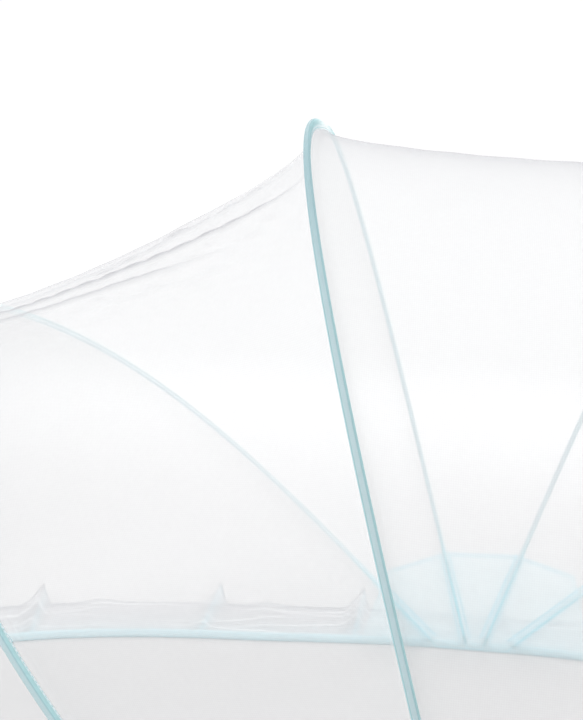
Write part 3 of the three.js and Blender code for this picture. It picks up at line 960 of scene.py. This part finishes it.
def stitch_row(name, places, ahead, beside):
    corners, faces = one_stitch()
    above = np.cross(ahead, beside)
    turned = (
        corners[None, :, :1] * ahead[:, None, :] + corners[None, :, 1:2] * beside[:, None, :]
        + corners[None, :, 2:] * above[:, None, :] + places[:, None, :]
    )
    numbered = faces[None] + len(corners) * np.arange(len(places))[:, None, None]
    mesh = bpy.data.meshes.new(name)
    mesh.from_pydata(turned.reshape(-1, 3), [], numbered.reshape(-1, 3).tolist())
    piece = bpy.data.objects.new(name, mesh)
    bpy.context.scene.collection.objects.link(piece)
    smooth(piece, outside=True)
    return piece


def stitch_pair(name, centre, ahead, beside, lateral):
    """Two rows of stitches, one on each side of a line."""
    rows = [stitch_row(f"row_{hand + 1}", centre + hand * lateral * beside, ahead, beside)
            for hand in (-1, 1)]
    return joined(name, rows)


# %% Stitches beside the hoops
HOOP_STITCH = {"lateral": 0.00190, "outward": -0.0062}
FIRST_STITCH = 0.024


def hoop_stitches(name):
    line = hoop_lines[name]
    distance = np.arange(FIRST_STITCH, line["length"] - FIRST_STITCH, STITCH_PITCH)
    centre, ahead, across, inward = on_hoop(line, distance / line["length"])
    centre = centre - HOOP_STITCH["outward"] * inward
    return stitch_pair("stitches_" + name, centre, ahead, across, HOOP_STITCH["lateral"])


stitch_pieces = {name: hoop_stitches(name) for name in HOOPS}
for name, piece in stitch_pieces.items():
    print("stitches", name, len(piece.data.polygons) // STITCH_FACES)

# %% Stitches on the base band and round the patches
BAND_STITCH = {"lateral": 0.0040, "height": 0.0097}
# The row on a patch lies a hem's width in from the rim, towards the patch's middle.
HEM_WIDTH = 0.006
PATCH_MIDDLE = np.array([0.0, 0.08])
MIDDLE_TO_RIM = 0.13
PATCH_STITCH_DEPTH = 0.0004


def band_stitches():
    along = np.arange(0, base["length"], STITCH_PITCH)
    ahead, beside = [on_line(base, key, base_share(along)) for key in ("ahead", "outward")]
    centre = beside_base(along, np.zeros_like(along), BAND_STITCH["height"])
    return stitch_pair("stitches_band", centre, ahead, beside, BAND_STITCH["lateral"])


def patch_stitches(name, side):
    """A row inside the folded edge of a patch, round its rim."""
    corners = PATCH_CORNERS + (PATCH_MIDDLE - PATCH_CORNERS) * (HEM_WIDTH / MIDDLE_TO_RIM)
    places, ahead = [], []
    for a, b in zip(corners[:-1], corners[1:]):
        length = np.linalg.norm(b - a)
        count = int(length / STITCH_PITCH)
        for step in range(1, count):
            x, z = a + (b - a) * step / count
            places.append([x, side * (PATCH_FACE - PATCH_STITCH_DEPTH), z])
            ahead.append([(b - a)[0] / length, 0.0, (b - a)[1] / length])
    beside = np.tile([0.0, 1.0, 0.0], (len(places), 1))
    return stitch_row(name, np.array(places), np.array(ahead), beside)


stitch_pieces["band"] = band_stitches()
patch_stitch_pieces = {hub: patch_stitches("stitches_patch_" + hub, side)
                       for hub, side in (("far", 1), ("near", -1))}
print("stitches on the band", len(stitch_pieces["band"].data.polygons) // STITCH_FACES)

# %% [markdown]
# At each foot the hoop's casing is bound to the band with a few turns of thread, close
# together. Each turn follows the casing's drop section, a little outside it.

# %% Thread turns at the hoop feet
TURNS = 4
FIRST_TURN = 0.0185
TURN_PITCH = 0.0011
TURN_RADIUS = 0.0006
TURN_STANDOFF = 1.08
TURN_POINT_STEP = 0.002


def thread_turn(line, distance, side):
    share = near_foot(line, np.array([distance]), side)
    centre, ahead, across, inward = [values[0] for values in on_hoop(line, share)]
    section = drop_section("lateral", "outward") * TURN_STANDOFF
    ring = centre + section[:, :1] * across - section[:, 1:] * inward
    middle = ring.mean(axis=0)
    away = ring - middle
    away /= np.linalg.norm(away, axis=1)[:, None]
    places = round_places(ring, away, ahead[None, :], TURN_RADIUS)
    uv = uv_grid(np.arange(len(ring)) * TURN_POINT_STEP, TURN_RADIUS * THREAD_TURN)
    return tube("turn", places, uv, weld=FINE_WELD_DISTANCE)


def foot_turns(name):
    line = hoop_lines[name]
    turns = [thread_turn(line, FIRST_TURN + number * TURN_PITCH, side)
             for side in (1, -1) for number in range(TURNS)]
    return joined("turns_" + name, turns)


turn_pieces = {name: foot_turns(name) for name in HOOPS}
print("thread turns", {name: len(piece.data.polygons) for name, piece in turn_pieces.items()})

# %% [markdown]
# ## Finishes
# The mesh is a sheer white knit. Its holes are too fine to show at this distance, so
# most of each point lets light straight through and the rest scatters it, part back and
# part forward, as thin yarn does. At folds, seams and the crown more yarn covers it.

# %% Finish of a cloth
TAPE_RIB_MM = 1.1
TAPE_RIB_DEPTH = 0.0003
WAVE_BANDS_PER_UNIT = 20
UNEVEN_PER_METRE = 7.0


def cloth_finish(name, pitch_mm, cover, uneven, through, tint, mottle_mm, tints, ribbed=False):
    """A knitted or woven cloth.

    cover holds the shares that the yarns cover in the open and the closed cells of the
    lattice, uneven how much that varies over the piece, and through the share of light
    that passes on through a yarn. tint holds the two tones of its mottling, and tints a
    tone for each amount that the piece's mesh carries. The amount "thick" closes gaps.
    """
    material = bpy.data.materials.new(name)
    tree = empty_tree(material)
    where = add_node(tree, "TexCoord").outputs["Object"]
    mottle = add_node(tree, "TexNoise", {
        "Vector": where, "Scale": 1000 / mottle_mm, "Detail": 3.0}).outputs["Fac"]
    colour = add_node(tree, "Mix", {
        "data_type": "RGBA", "Factor": mottle, "A": linear(tint[0]), "B": linear(tint[1]),
    }).outputs["Result"]
    for amount, tone in tints.items():
        share = add_node(tree, "Attribute", {"attribute_name": amount}).outputs["Fac"]
        colour = add_node(tree, "Mix", {
            "data_type": "RGBA", "Factor": share, "A": colour, "B": linear(tone),
        }).outputs["Result"]
    on_cloth = add_node(tree, "UVMap", {"uv_map": UV_NAME}).outputs["UV"]
    turned = add_node(tree, "Mapping", {
        "Vector": on_cloth, "Rotation": (0, 0, math.radians(45)),
        "Scale": (1000 / pitch_mm, 1000 / pitch_mm, 1)}).outputs["Vector"]
    cells = add_node(tree, "TexChecker", {"Vector": turned, "Scale": 1.0}).outputs["Fac"]
    lattice = add_node(tree, "MapRange", {
        "Value": cells, "To Min": cover[0] - uneven / 2, "To Max": cover[1] - uneven / 2,
    }).outputs["Result"]
    broad = add_node(tree, "TexNoise", {
        "Vector": where, "Scale": UNEVEN_PER_METRE, "Detail": 4.0}).outputs["Fac"]
    covered = add_node(tree, "Math", {
        "operation": "MULTIPLY_ADD", 0: broad, 1: uneven, 2: lattice}).outputs["Value"]
    thick = add_node(tree, "Attribute", {"attribute_name": "thick"}).outputs["Fac"]
    covered = add_node(tree, "Mix", {
        "Factor": thick, "A": covered, "B": 1.0}).outputs["Result"]
    yarn = {"Color": colour}
    if ribbed:
        ribs = add_node(tree, "TexWave", {
            "Vector": on_cloth, "bands_direction": "X", "Distortion": 0.6,
            "Scale": 1000 / TAPE_RIB_MM / WAVE_BANDS_PER_UNIT}).outputs["Fac"]
        yarn["Normal"] = add_node(tree, "Bump", {
            "Height": ribs, "Strength": 0.3, "Distance": TAPE_RIB_DEPTH}).outputs["Normal"]
    back = add_node(tree, "BsdfDiffuse", {**yarn, "Roughness": 0.5}).outputs[0]
    front = add_node(tree, "BsdfTranslucent", yarn).outputs[0]
    yarns = add_node(tree, "MixShader", {"Fac": through, 1: back, 2: front}).outputs[0]
    clear = add_node(tree, "BsdfTransparent").outputs[0]
    sheer = add_node(tree, "MixShader", {"Fac": covered, 1: clear, 2: yarns}).outputs[0]
    add_node(tree, "OutputMaterial", {"Surface": sheer})
    return material


# %% Sheer white mesh
# A warp-knitted polyester mesh with holes 1.3 mm apart. Its yarn is bright white. In
# folds, in the crinkles and along the crown it is tinted grey, which is painted shade.
mesh_finish = cloth_finish(
    "sheer white knitted mesh", pitch_mm=1.3, cover=(0.405, 0.42), uneven=0.05, through=0.42,
    tint=("#e9e9ea", "#eeeeef"), mottle_mm=4, tints={"shade": "#aaaab0", "seam": "#ffffff"})

# %% Pale aqua bindings
# A woven polyester tape folded round the wire. The single layer over the wire looks
# greyer, the doubled edges are a clearer aqua, and the seam is white. Beside the crown it
# is tinted near white, a painted highlight; on the near shoulder it is tinted duller,
# which is painted shade; near the feet its clearer aqua is partly painted light.
hoop_finish = cloth_finish(
    "pale aqua woven hoop binding", pitch_mm=1.0, cover=(0.96, 0.99), uneven=0.02, through=0.48,
    tint=("#b6dadd", "#cfe6e8"), mottle_mm=4, ribbed=True,
    tints={"wire": "#cfdcdf", "line": "#9ab8be", "seam": "#f1f7f9", "painted_shade": "#b5cdd2",
           "foot": "#c4f5fb", "crown": "#fbffff"})
# The base's tape is the same weave. It stands on the pale floor and catches its light.
# Along the floor it is tinted darker, partly its dark edge and partly painted contact shadow.
band_finish = cloth_finish(
    "pale aqua woven base binding", pitch_mm=1.0, cover=(0.96, 0.99), uneven=0.02, through=0.25,
    tint=("#b2eef9", "#def9fc"), mottle_mm=7, ribbed=True, tints={"line": "#9dbcc5"})

# %% Voiles
# The patches are a plain polyester voile, closer than the mesh, dyed pale aqua. Along
# the hem it lies double, and its aqua is deeper.
patch_finish = cloth_finish(
    "pale aqua voile", pitch_mm=1.0, cover=(0.36, 0.42), uneven=0.06, through=0.5,
    tint=("#d2f7fd", "#defbff"), mottle_mm=6, tints={"hem": "#a6e2ee"})
# The wings are the same voile, tinted whiter by the casing, which is painted light against
# the shade of the layered cloth there, and doubled along the outer edge.
wing_finish = cloth_finish(
    "doubled pale aqua voile", pitch_mm=1.0, cover=(0.36, 0.42), uneven=0.04, through=0.4,
    tint=("#eaf2f8", "#f2f8fc"), mottle_mm=5, tints={"edge": "#62e2f3"})
# The skirt is undyed white voile. Creases are whitest, a white tint that is painted
# highlight over their closer yarn; the flutes' left sides and the hem are greyer, a grey
# tint that is painted shade; and beside the band the aqua seam allowance shows through.
skirt_finish = cloth_finish(
    "white voile", pitch_mm=1.0, cover=(0.30, 0.38), uneven=0.14, through=0.12,
    tint=("#bbbcc2", "#c8c9cf"), mottle_mm=9,
    tints={"aqua": "#a9ebf7", "shade": "#96979c", "crease_highlight": "#ffffff"})

# %% Threads
# Overlock thread is textured polyester, mottled because white and grey are looped together.
overlock_finish = cloth_finish(
    "mottled overlock thread", pitch_mm=2.0, cover=(0.25, 0.50), uneven=0.20, through=0.3,
    tint=("#a6a6ab", "#f6f6f8"), mottle_mm=16, tints={})
# The sewing thread is spun polyester, a deeper aqua than the tape.
thread_finish = cloth_finish(
    "aqua polyester thread", pitch_mm=0.5, cover=(0.97, 0.99), uneven=0.02, through=0.15,
    tint=("#a6d8de", "#c4eaee"), mottle_mm=1.1, tints={})
print("materials", len(bpy.data.materials))

# %% [markdown]
# ## Floor and light
# The object stands on a plain pale floor that fades to white, so that no line shows
# behind the net. The light is an even studio: a white surround and three soft lights.

# %% Floor
FLOOR_SIZE = 60.0
FLOOR_TONE = "#cecdcd"
# The floor fades over these distances across the bed, and further along it.
FLOOR_FADE_START = 1.05
FLOOR_FADE_END = 3.2
FADE_SHARE_ALONG = 0.62
WHITE_GLOW = 1.02
WORLD_LIGHT = 0.85


def add_floor():
    deselect_all()
    bpy.ops.mesh.primitive_plane_add(size=FLOOR_SIZE)
    floor = bpy.context.active_object
    floor.name = "studio_floor"
    material = bpy.data.materials.new("pale studio floor")
    tree = empty_tree(material)
    where = add_node(tree, "TexCoord").outputs["Object"]
    oval = add_node(tree, "Mapping", {"Vector": where, "Scale": (FADE_SHARE_ALONG, 1, 1)})
    far = add_node(tree, "VectorMath", {"operation": "LENGTH", 0: oval.outputs["Vector"]})
    fade = add_node(tree, "MapRange", {
        "interpolation_type": "SMOOTHSTEP", "Value": far.outputs["Value"],
        "From Min": FLOOR_FADE_START, "From Max": FLOOR_FADE_END}).outputs["Result"]
    tone = add_node(tree, "Mix", {
        "data_type": "RGBA", "Factor": fade, "A": linear(FLOOR_TONE), "B": linear("#ffffff"),
    }).outputs["Result"]
    paint = add_node(tree, "BsdfDiffuse", {"Roughness": 0.6, "Color": tone}).outputs[0]
    glow = add_node(tree, "Emission", {
        "Color": linear("#ffffff"), "Strength": WHITE_GLOW}).outputs[0]
    blend = add_node(tree, "MixShader", {"Fac": fade, 1: paint, 2: glow}).outputs[0]
    add_node(tree, "OutputMaterial", {"Surface": blend})
    floor.data.materials.append(material)


add_floor()

# %% Light
def add_world():
    world = bpy.data.worlds.new("white studio")
    tree = empty_tree(world)
    white = linear("#ffffff")
    seen = add_node(tree, "Background", {"Color": white, "Strength": WHITE_GLOW})
    lit = add_node(tree, "Background", {"Color": white, "Strength": WORLD_LIGHT})
    path = add_node(tree, "LightPath")
    both = add_node(tree, "MixShader", {
        "Fac": path.outputs["Is Camera Ray"], 1: lit.outputs[0], 2: seen.outputs[0]})
    add_node(tree, "OutputWorld", {"Surface": both.outputs[0]})
    bpy.context.scene.world = world


def add_area_light(name, place, target, size, power):
    data = bpy.data.lights.new(name, "AREA")
    data.shape = "SQUARE"
    data.size = size
    data.energy = power
    light = bpy.data.objects.new(name, data)
    light.location = place
    light.rotation_euler = (Vector(target) - Vector(place)).to_track_quat("-Z", "Y").to_euler()
    bpy.context.scene.collection.objects.link(light)


add_world()
add_area_light("soft_key", (-2.5, -3.0, 3.6), (-0.2, 0.0, 0.3), 3.0, 115.0)
add_area_light("soft_back", (1.5, 3.5, 3.2), (0.0, 0.0, 0.3), 3.0, 150.0)
add_area_light("soft_top", (0.0, 0.3, 3.6), (0.0, 0.3, 0.0), 3.5, 24.0)
scene = bpy.context.scene
scene.view_settings.view_transform = "Standard"
scene.cycles.transparent_max_bounces = 32
scene.cycles.max_bounces = 12

# %% [markdown]
# ## Hand over
# Each piece gets its finish and rides on the body, and those that stand in for a solid of
# the frame hide it.

# %% Dress the net
def trim(piece, finish):
    """Finishes a piece and lets it move with the net."""
    piece.data.materials.clear()
    piece.data.materials.append(finish)
    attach(piece, "root")


def dress(piece, node, finish):
    """Finishes a piece that stands in for one of the frame's solids."""
    trim(piece, finish)
    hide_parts(node)


for piece, facts in gore_pieces:
    dress(piece, "net_" + facts["name"], mesh_finish)
for name, piece in casing_pieces.items():
    dress(piece, "hoop_" + name, hoop_finish)
dress(band_piece, "base_band", band_finish)
for hub, piece in patch_pieces.items():
    dress(piece, "hub_patch_" + hub, patch_finish)
    trim(wing_pieces[hub], wing_finish)
    trim(patch_stitch_pieces[hub], thread_finish)
for name in HOOPS:
    trim(stitch_pieces[name], thread_finish)
    trim(turn_pieces[name], thread_finish)
trim(stitch_pieces["band"], thread_finish)
dress(skirt_piece, "floor_skirt", skirt_finish)
trim(overlock_piece, overlock_finish)
